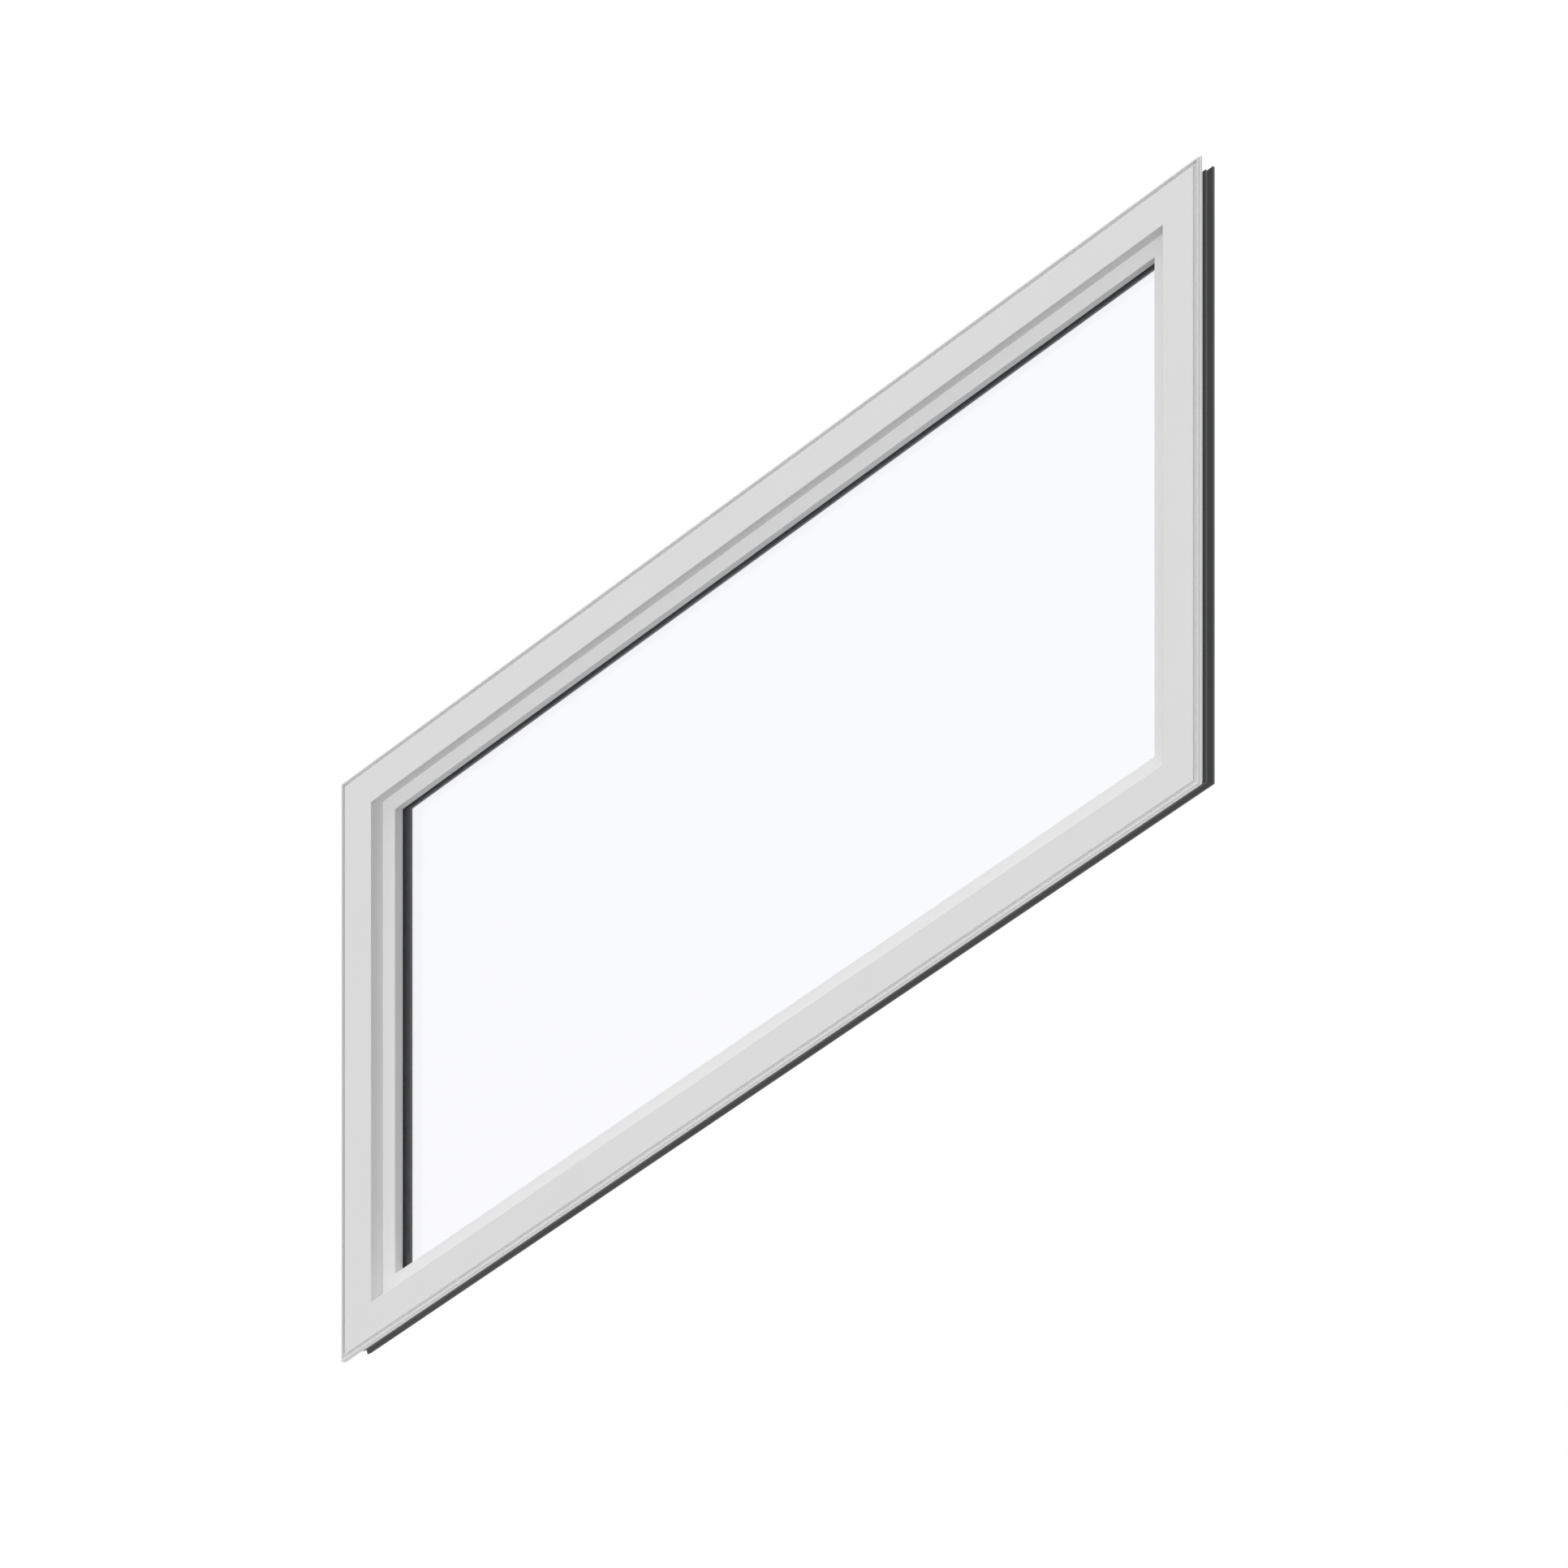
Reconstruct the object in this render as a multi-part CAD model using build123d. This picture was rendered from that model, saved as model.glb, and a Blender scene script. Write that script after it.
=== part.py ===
from build123d import *
import math
import os

# Fixed window in the shape of a parallelogram: upright jambs, with head and sill on the same rake.
# Millimetres. +X runs to the right as seen from the room, +Y from the room to the outside, +Z up.
# The origin is the middle of the left jamb's flat fixing face.

# Overall outline, measured over the outermost flanges
overall_width = 1200.0
side_height = 800.0
rake_rise = 800.0

# Trim and face on the room side, counted inward from the outermost flange
face_edge = 7.5
face_width = 39.5
groove_wall_depth = 6.8
groove_bottom_depth = 8.0
groove_bottom_width = 1.9
trim_edge = 1.5
trim_tip_width = 1.7
trim_tip_setback = 1.4
trim_depth = 13.0
trim_tip_radius = 0.5
flange_end = 20.0
edge_radius = 0.8

# Glazing rebate, counted from the room face towards the outside
bead_setback = 37.5
bead_depth = 26.0
bead_face_width = 18.7
inner_gasket_thickness = 1.5
pane_thickness = 4.0
pane_gap = 16.0
outer_gasket_thickness = 2.0

# Outer part of the frame
frame_joint_depth = 57.0
fixing_inset = 7.0
shoulder_inset = 4.5
shoulder_rise_depth = 7.0
shoulder_depth = 12.0
outer_flange_depth = 12.0
outer_stop_depth = 11.0
outer_stop_height = 17.7

# Walls, tongues and clearances
frame_wall = 2.6
web_wall = 1.6
bead_wall = 1.8
front_chamber_depth = 26.0
joint_tongue_length = 4.0
joint_tongue_width = 2.6
bead_tongue_length = 3.0
bead_tongue_width = 2.4
bead_tongue_setback = 8.0
slot_clearance = 0.3

# Glass unit, gaskets and setting blocks
glass_edge_gap = 6.0
spacer_height = 6.5
spacer_sightline = 2.7
gasket_height = 6.0
gasket_sightline = 0.6
gasket_nose_radius = 0.6
block_length = 100.0
block_corner_distance = 120.0

# Worked out from the values above
rake = math.atan2(rake_rise, overall_width)
pocket_floor = face_edge + face_width
bead_edge = pocket_floor + bead_face_width
stop_edge = pocket_floor + outer_stop_height
glass_edge = pocket_floor + glass_edge_gap
spacer_edge = bead_edge - spacer_sightline
spacer_back = spacer_edge - spacer_height
bead_back = bead_setback + bead_depth
glass_front = bead_back + inner_gasket_thickness
gap_front = glass_front + pane_thickness
gap_back = gap_front + pane_gap
glass_back = gap_back + pane_thickness
stop_front = glass_back + outer_gasket_thickness
frame_depth = stop_front + outer_stop_depth
flange_front = frame_depth - outer_flange_depth
bead_tongue_depth = bead_setback + bead_tongue_setback
joint_tongue_inset = (fixing_inset + pocket_floor) / 2
fixing_mid_depth = (flange_end + frame_joint_depth) / 2
cut_margin = 80.0

# Each side runs clockwise from its first corner to its second, as seen from the room
side_corners = {
    "left_jamb": ("low_left", "top_left"),
    "head": ("top_left", "top_right"),
    "right_jamb": ("top_right", "low_right"),
    "sill": ("low_right", "low_left"),
}


def outline_corner(name, inset, depth=0.0):
    """Corner of the outline moved inward by inset, at a depth from the room face."""
    x = inset if name.endswith("left") else overall_width - inset
    across = inset / math.cos(rake)
    lift = across if name.startswith("low") else side_height - across
    z = (x - fixing_inset) * math.tan(rake) + lift - side_height / 2
    return Vector(x - fixing_inset, depth - fixing_mid_depth, z)


def side_plane(side):
    """Section plane at a side's first corner: local x points inward, local y to the outside."""
    first, second = [outline_corner(name, 0) for name in side_corners[side]]
    along = (second - first).normalized()
    inward = Vector(0, 1, 0).cross(along)
    return Plane(origin=first, x_dir=inward, z_dir=along)


def mitre_plane(corner, towards):
    """Plane through a corner's outer and inner points, facing the side that is kept."""
    outer = outline_corner(corner, 0)
    bisector = outline_corner(corner, cut_margin) - outer
    normal = bisector.cross(Vector(0, 1, 0)).normalized()
    if normal.dot(towards) < 0:
        normal = normal * -1
    return Plane(origin=outer, z_dir=normal)


def mitred_bar(side, section):
    """Extrusion of a section along one side, cut on the mitre at both corners."""
    first, second = side_corners[side]
    plane = side_plane(side)
    length = (outline_corner(second, 0) - outline_corner(first, 0)).length
    start = plane.offset(-cut_margin)
    bar = extrude(start * section, amount=length + 2 * cut_margin, dir=plane.z_dir)
    bar = split(bar, bisect_by=mitre_plane(first, plane.z_dir), keep=Keep.TOP)
    bar = split(bar, bisect_by=mitre_plane(second, plane.z_dir * -1), keep=Keep.TOP)
    return bar


def box_section(inset_a, inset_b, depth_a, depth_b):
    """Rectangle between two insets and two depths."""
    centre = Pos((inset_a + inset_b) / 2, (depth_a + depth_b) / 2)
    return centre * Rectangle(abs(inset_b - inset_a), abs(depth_b - depth_a))


def rounded(section, corners, radius):
    """Section with the named corner points rounded."""
    chosen = []
    for vertex in section.vertices():
        for inset, depth in corners:
            if abs(vertex.X - inset) < 0.001 and abs(vertex.Y - depth) < 0.001:
                chosen.append(vertex)
    return fillet(chosen, radius)


def frame_section():
    """Chambered extrusion with the room face, the trim groove and the front flange."""
    tip_inner = trim_edge + trim_tip_width
    outline = [
        (face_edge, 0),
        (pocket_floor, 0),
        (pocket_floor, frame_joint_depth),
        (fixing_inset, frame_joint_depth),
        (fixing_inset, flange_end),
        (0, flange_end),
        (0, trim_depth),
        (trim_edge, trim_depth),
        (trim_edge, trim_tip_setback),
        (tip_inner, trim_tip_setback),
        (face_edge - groove_bottom_width, groove_bottom_depth),
        (face_edge, groove_wall_depth),
    ]
    section = make_face(Polyline(*outline, close=True))
    section = rounded(section, [(face_edge, 0), (pocket_floor, 0)], edge_radius)
    tip_corners = [(trim_edge, trim_tip_setback), (tip_inner, trim_tip_setback)]
    section = rounded(section, tip_corners, trim_tip_radius)
    inner = pocket_floor - frame_wall
    outer = fixing_inset + frame_wall
    web = front_chamber_depth + web_wall
    joint_wall = frame_joint_depth - frame_wall
    section -= box_section(face_edge + frame_wall, inner, frame_wall, front_chamber_depth)
    rear = box_section(outer, inner, web, joint_wall)
    rear -= slot_boss(pocket_floor, bead_tongue_length, bead_tongue_depth, bead_tongue_width)
    rear -= joint_boss()
    section -= rear
    section -= bead_slot()
    section -= joint_slot()
    return section


def slot_boss(edge, reach, depth, width):
    """Thick place in a wall round the slot for a bead's tongue."""
    half = width / 2 + slot_clearance + web_wall
    return box_section(edge - reach - slot_clearance - web_wall, edge, depth - half, depth + half)


def bead_slot():
    """Slot in the pocket wall that the bead's tongue snaps into."""
    half = bead_tongue_width / 2 + slot_clearance
    end = pocket_floor - bead_tongue_length - slot_clearance
    return box_section(end, pocket_floor, bead_tongue_depth - half, bead_tongue_depth + half)


def joint_boss():
    """Thick place in the rear wall round the slot for the outer part's tongue."""
    half = joint_tongue_width / 2 + slot_clearance + web_wall
    front = frame_joint_depth - joint_tongue_length - slot_clearance - web_wall
    return box_section(joint_tongue_inset - half, joint_tongue_inset + half, front, frame_joint_depth)


def joint_slot():
    """Slot in the rear wall that lines the two parts of the frame up."""
    half = joint_tongue_width / 2 + slot_clearance
    front = frame_joint_depth - joint_tongue_length - slot_clearance
    return box_section(joint_tongue_inset - half, joint_tongue_inset + half, front, frame_joint_depth)


def outer_section():
    """Dark outer extrusion with its shoulder, rear flange and the fixed glazing stop."""
    shoulder_start = frame_joint_depth + shoulder_rise_depth
    outline = [
        (fixing_inset, frame_joint_depth),
        (pocket_floor, frame_joint_depth),
        (pocket_floor, stop_front),
        (stop_edge, stop_front),
        (stop_edge, frame_depth),
        (0, frame_depth),
        (0, flange_front),
        (shoulder_inset, shoulder_start + shoulder_depth),
        (shoulder_inset, shoulder_start),
    ]
    section = make_face(Polyline(*outline, close=True))
    section = rounded(section, [(stop_edge, frame_depth), (0, frame_depth)], edge_radius)
    inner = pocket_floor - frame_wall
    outer = fixing_inset + frame_wall
    web = stop_front - web_wall
    section -= box_section(outer, inner, frame_joint_depth + frame_wall, web)
    section -= box_section(outer, stop_edge - frame_wall, stop_front + frame_wall, frame_depth - frame_wall)
    half = joint_tongue_width / 2
    front = frame_joint_depth - joint_tongue_length
    section += box_section(joint_tongue_inset - half, joint_tongue_inset + half, front, frame_joint_depth)
    return section


def bead_section():
    """Hollow glazing bead with the tongue that snaps into the pocket wall."""
    section = box_section(pocket_floor, bead_edge, bead_setback, bead_back)
    section = rounded(section, [(pocket_floor, bead_setback), (bead_edge, bead_setback)], edge_radius)
    section -= box_section(
        pocket_floor + bead_wall,
        bead_edge - bead_wall,
        bead_setback + bead_wall,
        bead_back - bead_wall,
    )
    half = bead_tongue_width / 2
    tongue_end = pocket_floor - bead_tongue_length
    section += box_section(tongue_end, pocket_floor, bead_tongue_depth - half, bead_tongue_depth + half)
    return section


def gasket_section(edge, depth_a, depth_b):
    """Gasket strip between the glass and a bead or stop, its rounded nose just short of the edge."""
    near = edge - gasket_sightline
    strip = box_section(near - gasket_height, near, depth_a, depth_b)
    return rounded(strip, [(near, depth_a), (near, depth_b)], gasket_nose_radius)


def pane(depth):
    """Sheet of glass that fills the rebate up to the edge gap."""
    names = ("low_left", "top_left", "top_right", "low_right")
    corners = [outline_corner(name, glass_edge, depth) for name in names]
    face = make_face(Polyline(*corners, close=True))
    return extrude(face, amount=pane_thickness, dir=(0, 1, 0))


def setting_block(side, distance):
    """Block between the pocket floor and the glass, at a distance from the glass's low left corner."""
    plane = side_plane(side)
    first, second = [outline_corner(name, glass_edge) for name in side_corners[side]]
    lowest = first if side == "left_jamb" else second
    way = 1 if side == "left_jamb" else -1
    middle = lowest + plane.z_dir * (way * distance)
    local = plane.to_local_coords(middle)
    start = plane.offset(local.Z - block_length / 2)
    section = box_section(pocket_floor, glass_edge, glass_front, glass_back)
    return extrude(start * section, amount=block_length, dir=plane.z_dir)


def build_nodes():
    """Every piece of the window under its own name."""
    nodes = {}
    bar_sections = {
        "frame": frame_section(),
        "outer_frame": outer_section(),
        "bead": bead_section(),
        "inner_gasket": gasket_section(bead_edge, bead_back, glass_front),
        "outer_gasket": gasket_section(stop_edge, glass_back, stop_front),
        "spacer": box_section(spacer_back, spacer_edge, gap_front, gap_back),
        "edge_seal": box_section(glass_edge, spacer_back, gap_front, gap_back),
    }
    for name, section in bar_sections.items():
        for side in side_corners:
            nodes[f"{name}_{side}"] = mitred_bar(side, section)
    nodes["inner_pane"] = pane(glass_front)
    nodes["outer_pane"] = pane(gap_back)
    sill_length = (outline_corner("low_right", glass_edge) - outline_corner("low_left", glass_edge)).length
    nodes["setting_block_low"] = setting_block("sill", block_corner_distance)
    nodes["setting_block_high"] = setting_block("sill", sill_length - block_corner_distance)
    nodes["side_block"] = setting_block("left_jamb", block_corner_distance)
    return nodes


os.makedirs("parts", exist_ok=True)
for node_name, solid in build_nodes().items():
    export_step(solid, f"parts/{node_name}.step")
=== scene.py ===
import math

import bpy
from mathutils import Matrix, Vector


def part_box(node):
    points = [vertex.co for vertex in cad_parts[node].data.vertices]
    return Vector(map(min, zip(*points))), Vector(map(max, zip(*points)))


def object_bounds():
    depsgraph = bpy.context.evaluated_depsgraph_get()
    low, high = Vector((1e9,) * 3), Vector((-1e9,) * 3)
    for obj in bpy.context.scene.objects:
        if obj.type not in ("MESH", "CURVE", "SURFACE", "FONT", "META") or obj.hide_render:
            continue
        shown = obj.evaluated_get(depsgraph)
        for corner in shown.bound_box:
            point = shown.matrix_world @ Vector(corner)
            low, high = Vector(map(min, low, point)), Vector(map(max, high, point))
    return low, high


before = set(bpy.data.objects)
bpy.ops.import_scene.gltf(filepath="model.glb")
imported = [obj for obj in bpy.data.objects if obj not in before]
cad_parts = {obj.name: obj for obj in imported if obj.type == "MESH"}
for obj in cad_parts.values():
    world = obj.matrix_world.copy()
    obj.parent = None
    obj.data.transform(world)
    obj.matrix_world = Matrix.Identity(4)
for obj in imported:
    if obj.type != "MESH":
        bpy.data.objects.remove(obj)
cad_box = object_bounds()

# Dark outer frame
# Hollow anthracite extrusions that close the weather side, cut on the mitre and joined at all four corners.
# A tongue on their front face seats in the white frame, and their inner edge is the fixed glazing stop.

SIDES = ("left_jamb", "head", "right_jamb", "sill")
left_low, left_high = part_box("frame_left_jamb")
right_low, right_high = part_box("frame_right_jamb")
CORNERS = {
    "low_left": Vector((left_low.x, 0, left_low.z)),
    "top_left": Vector((left_low.x, 0, left_high.z)),
    "top_right": Vector((right_high.x, 0, right_high.z)),
    "low_right": Vector((right_high.x, 0, right_low.z)),
}
rail_way = (CORNERS["low_right"] - CORNERS["low_left"]).normalized()
rake = math.atan2(rail_way.z, rail_way.x)


def shader_node(tree, kind, inputs=None, **properties):
    """A node with its inputs set to values or joined to other nodes' outputs."""
    made = tree.nodes.new(kind)
    for name, value in properties.items():
        setattr(made, name, value)
    for name, value in (inputs or {}).items():
        if isinstance(value, bpy.types.NodeSocket):
            tree.links.new(value, made.inputs[name])
        else:
            made.inputs[name].default_value = value
    return made


def sums(tree, operation, first, second=0.0, third=0.0):
    """Output of one Math node."""
    inputs = {0: first, 1: second, 2: third}
    return shader_node(tree, "ShaderNodeMath", inputs, operation=operation).outputs[0]


def vector_sums(tree, operation, first, second=(0, 0, 0)):
    """Outputs of one Vector Math node: Vector, or Value for a length or a dot product."""
    inputs = {0: first, 1: second}
    return shader_node(tree, "ShaderNodeVectorMath", inputs, operation=operation).outputs


def noise(tree, place, scale, detail):
    """Soft random values over a surface: the larger the scale, the finer they are."""
    inputs = {"Vector": place, "Scale": scale, "Detail": detail}
    return shader_node(tree, "ShaderNodeTexNoise", inputs).outputs["Fac"]


def blended(tree, share, first, second):
    """A value between two others."""
    return shader_node(tree, "ShaderNodeMix", {"Factor": share, "A": first, "B": second}).outputs[0]


def mapped(tree, value, start, end):
    """A value brought from the start range to the end range, and kept inside it."""
    inputs = {"Value": value, 1: start[0], 2: start[1], 3: end[0], 4: end[1]}
    return shader_node(tree, "ShaderNodeMapRange", inputs).outputs[0]


def around(middle, spread):
    """A range that lies evenly about its middle."""
    return middle - spread, middle + spread


def shaded(tree, colour, share):
    """A colour made lighter or darker by a share that changes over the surface."""
    inputs = {0: colour, "Scale": share}
    return shader_node(tree, "ShaderNodeVectorMath", inputs, operation="SCALE").outputs[0]


def new_effect(name, takes, gives):
    """An empty node group with its sockets, and its input and output nodes."""
    group = bpy.data.node_groups.new(name, "ShaderNodeTree")
    for label, kind, start in takes:
        socket = group.interface.new_socket(label, in_out="INPUT", socket_type=kind)
        if start is not None:
            socket.default_value = start
    for label in gives:
        group.interface.new_socket(label, in_out="OUTPUT", socket_type="NodeSocketFloat")
    return group, group.nodes.new("NodeGroupInput").outputs, group.nodes.new("NodeGroupOutput").inputs


def make_die_lines():
    """Fine lines that the die leaves along an extrusion, with the slight orange peel of its skin."""
    takes = [
        ("Vector", "NodeSocketVector", None),
        ("Line Width", "NodeSocketFloat", 0.002),
        ("Line Length", "NodeSocketFloat", 0.6),
        ("Peel Size", "NodeSocketFloat", 0.0012),
        ("Peel Share", "NodeSocketFloat", 0.5),
    ]
    cloud_scale = 7.0
    lines_in_tone = 0.4
    group, given, result = new_effect("die_lines", takes, ["Height", "Tone"])
    across = sums(group, "DIVIDE", 1.0, given["Line Width"])
    along = sums(group, "DIVIDE", 1.0, given["Line Length"])
    stretch = shader_node(group, "ShaderNodeCombineXYZ", {"X": across, "Y": across, "Z": along}).outputs[0]
    drawn = vector_sums(group, "MULTIPLY", given["Vector"], stretch)["Vector"]
    lines = noise(group, drawn, 1.0, 2.0)
    peel = noise(group, given["Vector"], sums(group, "DIVIDE", 1.0, given["Peel Size"]), 1.0)
    clouds = noise(group, given["Vector"], cloud_scale, 3.0)
    group.links.new(blended(group, given["Peel Share"], lines, peel), result["Height"])
    group.links.new(blended(group, lines_in_tone, clouds, lines), result["Tone"])
    return group


def make_mitre_seam():
    """Hairline where two bars meet at a corner, on the plane that halves the angle between them."""
    takes = [("Vector", "NodeSocketVector", None), ("Width", "NodeSocketFloat", 0.0003)]
    reach_from_corner = 0.16
    without_depth = (1, 0, 1)
    group, given, result = new_effect("mitre_seam", takes, ["Seam"])
    flat = vector_sums(group, "MULTIPLY", given["Vector"], without_depth)["Vector"]
    seam = 0.0
    for name, corner in CORNERS.items():
        upright = Vector((0, 0, 1 if name.startswith("low") else -1))
        inward = rail_way if name.endswith("left") else -rail_way
        bisector = (upright + inward).normalized()
        normal = (-bisector.z, 0, bisector.x)
        offset = vector_sums(group, "SUBTRACT", flat, corner)["Vector"]
        length = vector_sums(group, "LENGTH", offset)["Value"]
        away = sums(group, "ABSOLUTE", vector_sums(group, "DOT_PRODUCT", offset, normal)["Value"])
        line = sums(group, "SUBTRACT", 1.0, sums(group, "DIVIDE", away, given["Width"]))
        near = sums(group, "LESS_THAN", length, reach_from_corner)
        seam = sums(group, "MAXIMUM", seam, sums(group, "MULTIPLY", line, near))
    group.links.new(seam, result["Seam"])
    return group


die_lines = make_die_lines()
mitre_seam = make_mitre_seam()
TONE_RANGE = (0.3, 0.7)
SHEEN_SPREAD = 0.06


def bar_turn(side):
    """Turn about Y that lays a bar's length along Z."""
    return 0.0 if side.endswith("jamb") else rake - math.pi / 2


def extruded(name, side, finish):
    """Material of one bar: its colour drifts a little, its skin follows the bar, and its mitres show."""
    material = bpy.data.materials.new(f"{name}_{side}")
    material.use_nodes = True
    tree = material.node_tree
    plastic = tree.nodes["Principled BSDF"]
    plastic.inputs["Specular IOR Level"].default_value = finish["Shine"]
    place = shader_node(tree, "ShaderNodeTexCoord").outputs["Object"]
    turned = shader_node(tree, "ShaderNodeMapping", {"Vector": place, "Rotation": (0, bar_turn(side), 0)})
    skin = {"Vector": turned.outputs[0]}
    for label in ("Line Width", "Line Length", "Peel Size", "Peel Share"):
        skin[label] = finish[label]
    grain = shader_node(tree, "ShaderNodeGroup", skin, node_tree=die_lines).outputs
    joint = {"Vector": place, "Width": finish["Seam Width"]}
    seam = shader_node(tree, "ShaderNodeGroup", joint, node_tree=mitre_seam).outputs["Seam"]
    drift = mapped(tree, grain["Tone"], TONE_RANGE, around(1, finish["Drift"]))
    tone = sums(tree, "MULTIPLY_ADD", seam, -finish["Seam Shade"], drift)
    tree.links.new(shaded(tree, finish["Colour"], tone), plastic.inputs["Base Color"])
    sheen = mapped(tree, grain["Tone"], TONE_RANGE, around(finish["Roughness"], SHEEN_SPREAD))
    tree.links.new(sheen, plastic.inputs["Roughness"])
    sunk = sums(tree, "SUBTRACT", grain["Height"], seam)
    bump = {"Height": sunk, "Distance": finish["Relief"], "Strength": finish["Strength"]}
    tree.links.new(shader_node(tree, "ShaderNodeBump", bump).outputs[0], plastic.inputs["Normal"])
    return material


def dress(node, material):
    """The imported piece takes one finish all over, in place of the slots that it came with."""
    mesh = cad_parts[node].data
    mesh.materials.clear()
    mesh.materials.append(material)


ANTHRACITE_PLASTIC = {
    "Colour": (0.036, 0.037, 0.039),
    "Roughness": 0.42,
    "Shine": 0.1,
    "Line Width": 0.0009,
    "Line Length": 0.05,
    "Peel Size": 0.0006,
    "Peel Share": 0.55,
    "Drift": 0.06,
    "Seam Width": 0.0003,
    "Seam Shade": 0.5,
    "Relief": 0.00004,
    "Strength": 0.5,
}
for side in SIDES:
    dress(f"outer_frame_{side}", extruded("anthracite_plastic", side, ANTHRACITE_PLASTIC))

# White frame
# The main frame on the room side: hollow white plastic extrusions, welded on the mitre and cleaned flush.
# Each bar has the trim groove and the front flange outside its face, and the glazing rebate inside.

WHITE_PLASTIC = {
    "Colour": (0.80, 0.80, 0.80),
    "Roughness": 0.42,
    "Shine": 0.5,
    "Line Width": 0.0022,
    "Line Length": 0.7,
    "Peel Size": 0.0014,
    "Peel Share": 0.5,
    "Drift": 0.008,
    "Seam Width": 0.00025,
    "Seam Shade": 0.08,
    "Relief": 0.00003,
    "Strength": 0.08,
}
for side in SIDES:
    dress(f"frame_{side}", extruded("white_plastic", side, WHITE_PLASTIC))

# Setting blocks and side block
# Hard plastic packers in the rebate, which carry the weight of the glass and keep it off the frame.
# Two stand on the sill and one is low on the left jamb, clipped in before the glass goes in.

MOTTLE_RANGE = (0.35, 0.65)
MOTTLE_SCALE = 30.0
MATT_SPREAD = 0.08
MOULDED_STRENGTH = 0.6


def solid_stuff(name, colour, roughness, grain, drift, relief, shine=0.5):
    """Material of a cast or moulded piece: a fine even skin with a little drift in its colour."""
    material = bpy.data.materials.new(name)
    material.use_nodes = True
    tree = material.node_tree
    body = tree.nodes["Principled BSDF"]
    body.inputs["Specular IOR Level"].default_value = shine
    place = shader_node(tree, "ShaderNodeTexCoord").outputs["Object"]
    skin = noise(tree, place, 1 / grain, 4.0)
    mottle = sums(tree, "MULTIPLY", sums(tree, "ADD", skin, noise(tree, place, MOTTLE_SCALE, 2.0)), 0.5)
    tone = mapped(tree, mottle, MOTTLE_RANGE, around(1, drift))
    tree.links.new(shaded(tree, colour, tone), body.inputs["Base Color"])
    matt = mapped(tree, mottle, MOTTLE_RANGE, around(roughness, MATT_SPREAD))
    tree.links.new(matt, body.inputs["Roughness"])
    bump = {"Height": skin, "Distance": relief, "Strength": MOULDED_STRENGTH}
    tree.links.new(shader_node(tree, "ShaderNodeBump", bump).outputs[0], body.inputs["Normal"])
    return material


block_plastic = solid_stuff(
    "block_plastic", colour=(0.09, 0.16, 0.30), roughness=0.45, grain=0.001, drift=0.08, relief=0.00004
)
for node in ("setting_block_low", "setting_block_high", "side_block"):
    dress(node, block_plastic)

# Outer gaskets
# Dark grey rubber strips pressed into the glazing stop, on which the glass unit is laid from the room.
# They run round the whole opening just behind the edge of the stop, and match its colour.

RUBBER_SKIN = {"grain": 0.0004, "drift": 0.15, "relief": 0.00005, "shine": 0.05}
outer_rubber = solid_stuff("outer_gasket_rubber", colour=(0.045, 0.046, 0.048), roughness=0.7, **RUBBER_SKIN)
for side in SIDES:
    dress(f"outer_gasket_{side}", outer_rubber)

# Spacer bars and edge seals
# A dark warm-edge bar holds the two panes apart, and black sealant closes the unit behind it.
# Only the face of the bar that looks into the gap shows, through the glass.

SPACER_BAR = {
    "Colour": (0.012, 0.012, 0.013),
    "Roughness": 0.7,
    "Shine": 0.03,
    "Line Width": 0.0016,
    "Line Length": 0.4,
    "Peel Size": 0.0005,
    "Peel Share": 0.2,
    "Drift": 0.35,
    "Seam Width": 0.0004,
    "Seam Shade": 0.4,
    "Relief": 0.00006,
    "Strength": 0.5,
}
SEALANT_SKIN = {"grain": 0.003, "drift": 0.2, "relief": 0.0003, "shine": 0.2}
edge_sealant = solid_stuff("edge_sealant", colour=(0.018, 0.018, 0.019), roughness=0.8, **SEALANT_SKIN)
for side in SIDES:
    dress(f"spacer_{side}", extruded("spacer_bar", side, SPACER_BAR))
    dress(f"edge_seal_{side}", edge_sealant)

# Glass panes
# Two panes of clear float glass, 4 mm thick, joined at their edges into one sealed unit.
# The glass is faintly blue, with a painted reflection that makes it a little bluer towards the top of the
# window, and lets lamps through.

GLASS_IOR = 1.52
FILM_SCALE = 3.0
FILM_RANGE = (0.45, 0.75)
HAZE_RANGE = (0.0, 0.02)
SHADOW_TINT = (0.95, 0.96, 0.97, 1)


def float_glass(name, low_tint_and_reflection, high_tint_and_reflection):
    """Clear glass whose tint changes slightly from the sill to the head, as a painted reflection."""
    material = bpy.data.materials.new(name)
    material.use_nodes = True
    tree = material.node_tree
    glass = tree.nodes["Principled BSDF"]
    glass.inputs["Transmission Weight"].default_value = 1.0
    glass.inputs["IOR"].default_value = GLASS_IOR
    place = shader_node(tree, "ShaderNodeTexCoord").outputs["Object"]
    height = shader_node(tree, "ShaderNodeSeparateXYZ", {0: place}).outputs["Z"]
    low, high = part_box("inner_pane")
    share = mapped(tree, height, (low.z, high.z), (0, 1))
    # The blend from the sill's tint to the head's is a painted reflection on top of the glass's own faint
    # blue.
    tints_and_reflection = {"Factor": share, "A": (*low_tint_and_reflection, 1), "B": (*high_tint_and_reflection, 1)}
    tint_and_reflection = shader_node(tree, "ShaderNodeMix", tints_and_reflection, data_type="RGBA").outputs["Result"]
    tree.links.new(tint_and_reflection, glass.inputs["Base Color"])
    film = noise(tree, place, FILM_SCALE, 4.0)
    tree.links.new(mapped(tree, film, FILM_RANGE, HAZE_RANGE), glass.inputs["Roughness"])
    clear = shader_node(tree, "ShaderNodeBsdfTransparent", {"Color": SHADOW_TINT})
    shadow = shader_node(tree, "ShaderNodeLightPath").outputs["Is Shadow Ray"]
    lit = shader_node(tree, "ShaderNodeMixShader", {0: shadow, 1: glass.outputs[0], 2: clear.outputs[0]})
    tree.links.new(lit.outputs[0], tree.nodes["Material Output"].inputs["Surface"])
    return material


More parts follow.
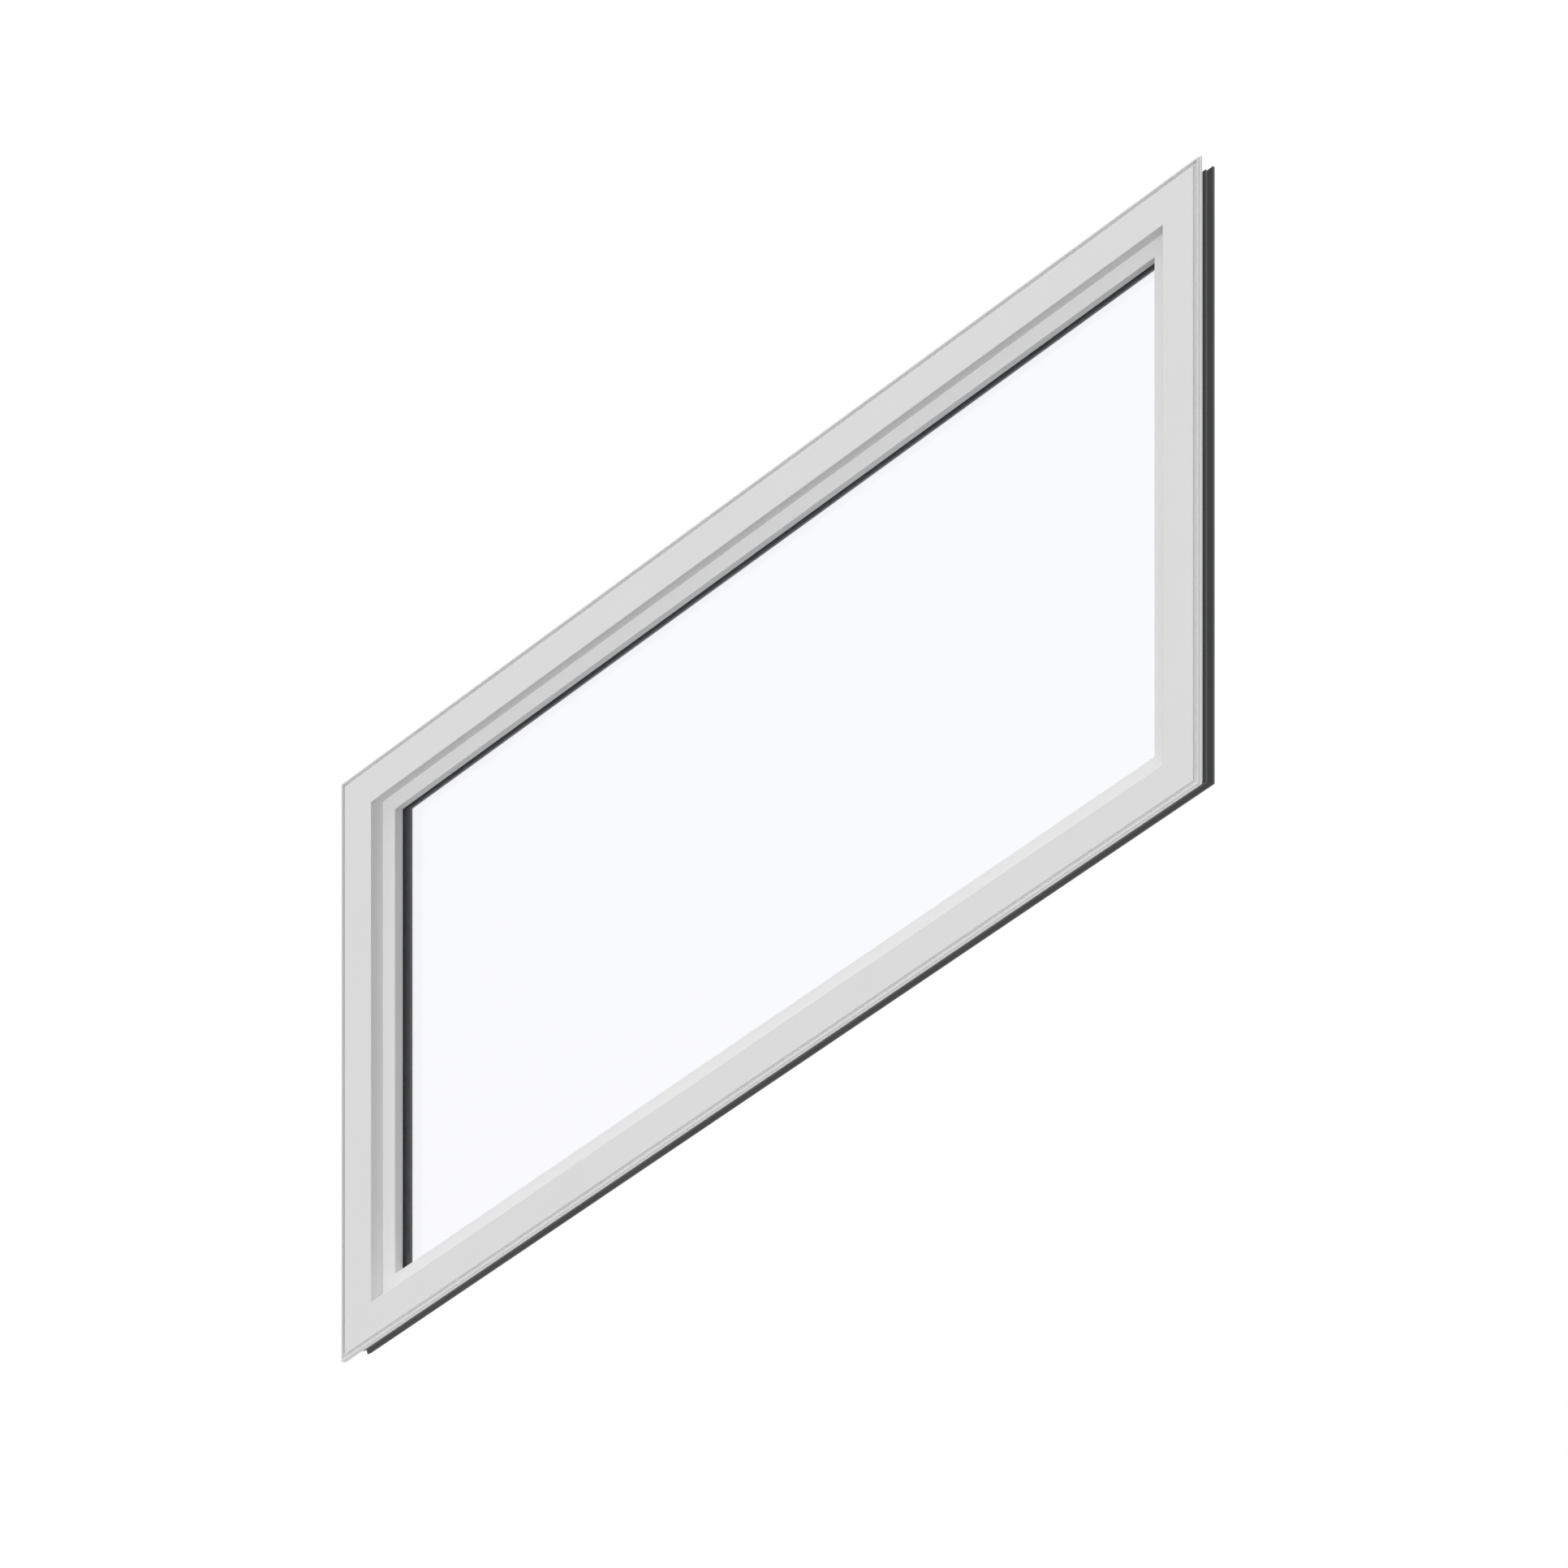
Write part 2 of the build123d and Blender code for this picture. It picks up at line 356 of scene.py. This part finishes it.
clear_glass = float_glass("clear_glass", low_tint_and_reflection=(0.977, 0.978, 0.9915), high_tint_and_reflection=(0.972, 0.978, 0.9915))
for node in ("inner_pane", "outer_pane"):
    dress(node, clear_glass)

# Inner gaskets
# Black rubber strips between the glass and the beads, squeezed as the beads snap home.
# From close by, a thin dark line of them shows at the foot of a bead.

inner_rubber = solid_stuff("inner_gasket_rubber", colour=(0.014, 0.014, 0.015), roughness=0.75, **RUBBER_SKIN)
for side in SIDES:
    dress(f"inner_gasket_{side}", inner_rubber)

# Glazing beads
# White hollow beads, cut on the mitre, whose tongues snap into the slots of the white frame.
# They hold the glass from the room side, set well back from the face of the frame, and are painted a shade
# whiter than it as painted light against the shade of that recess.

# The beads' white is lifted above the frame's as painted light, to make up for the shade that falls in the
# recess round the glass.
BEAD_PLASTIC_WITH_PAINTED_LIGHT = {**WHITE_PLASTIC, "Colour": (0.83, 0.83, 0.83)}
for side in SIDES:
    dress(f"bead_{side}", extruded("white_bead", side, BEAD_PLASTIC_WITH_PAINTED_LIGHT))

# Camera
# It stands in the room, level with the middle of the window and to the right of it.
# The field of view is that of a square picture 1932 pixels wide.

picture_width = 1932
focal_pixels = 4320.7
camera_place = (2.0943, -4.4323, 0.3952)
camera_turn = 0.3201
camera_data = bpy.data.cameras.new("camera")
camera_data.sensor_width = 36.0
camera_data.lens = camera_data.sensor_width * focal_pixels / picture_width
camera = bpy.data.objects.new("camera", camera_data)
camera.location = camera_place
camera.rotation_euler = (math.pi / 2, 0, camera_turn)
bpy.context.scene.collection.objects.link(camera)
bpy.context.scene.camera = camera

# Studio
# A pale floor a sill's height below the window, soft light from all round, a key from above and in front,
# a lamp overhead that casts the shadow, and a weak one from below, as light comes back off a floor.
# The camera, a gloss and the glass see the floor and the sky as white, and the floor keeps the shadow.

sill_height = 0.9
floor_radius = 7.0
floor_colour = 0.58
floor_glow = 0.46
ambient = 0.49
white_light = 1.0
bpy.ops.object.select_all(action="DESELECT")
bpy.ops.mesh.primitive_circle_add(
    vertices=96,
    radius=floor_radius,
    fill_type="NGON",
    location=((cad_box[0].x + cad_box[1].x) / 2, 0, cad_box[0].z - sill_height),
)
floor = bpy.context.object
floor.name = "floor"


def seen_directly(tree):
    """1 for what the camera, a gloss or the glass sees, and 0 for what lights a matt surface."""
    path = shader_node(tree, "ShaderNodeLightPath").outputs
    either = sums(tree, "MAXIMUM", path["Is Camera Ray"], path["Is Glossy Ray"])
    sharp = sums(tree, "MAXIMUM", either, path["Is Transmission Ray"])
    before_any_matt_surface = sums(tree, "LESS_THAN", path["Diffuse Depth"], 0.5)
    return sums(tree, "MULTIPLY", sharp, before_any_matt_surface)


floor_paint = bpy.data.materials.new("floor_paint")
floor_paint.use_nodes = True
paint = floor_paint.node_tree.nodes["Principled BSDF"]
paint.inputs["Base Color"].default_value = (floor_colour, floor_colour, floor_colour, 1)
paint.inputs["Roughness"].default_value = 1.0
paint.inputs["Specular IOR Level"].default_value = 0.0
paint.inputs["Emission Color"].default_value = (1, 1, 1, 1)
glow = sums(floor_paint.node_tree, "MULTIPLY", seen_directly(floor_paint.node_tree), floor_glow)
floor_paint.node_tree.links.new(glow, paint.inputs["Emission Strength"])
floor.data.materials.append(floor_paint)

world = bpy.data.worlds.new("studio")
world.use_nodes = True
bpy.context.scene.world = world
sky = world.node_tree.nodes["Background"]
sky.inputs["Color"].default_value = (1, 1, 1, 1)
strength = mapped(world.node_tree, seen_directly(world.node_tree), (0, 1), (ambient, white_light))
world.node_tree.links.new(strength, sky.inputs["Strength"])


def add_sun(name, towards, energy, spread, shadow):
    """A wide soft sun that shines from the side it is turned towards, with its spread in degrees."""
    data = bpy.data.lights.new(name, "SUN")
    data.energy = energy
    data.angle = math.radians(spread)
    data.use_shadow = shadow
    lamp = bpy.data.objects.new(name, data)
    lamp.rotation_euler = Vector(towards).to_track_quat("Z", "Y").to_euler()
    bpy.context.scene.collection.objects.link(lamp)


add_sun("key", towards=(-0.02, -0.68, 0.73), energy=1.5, spread=45, shadow=False)
add_sun("overhead", towards=(0.0, -0.35, 0.93), energy=0.3, spread=40, shadow=True)
add_sun("bounce", towards=(0.0, -0.5, -0.87), energy=0.12, spread=60, shadow=False)

bpy.context.scene.view_settings.view_transform = "Standard"
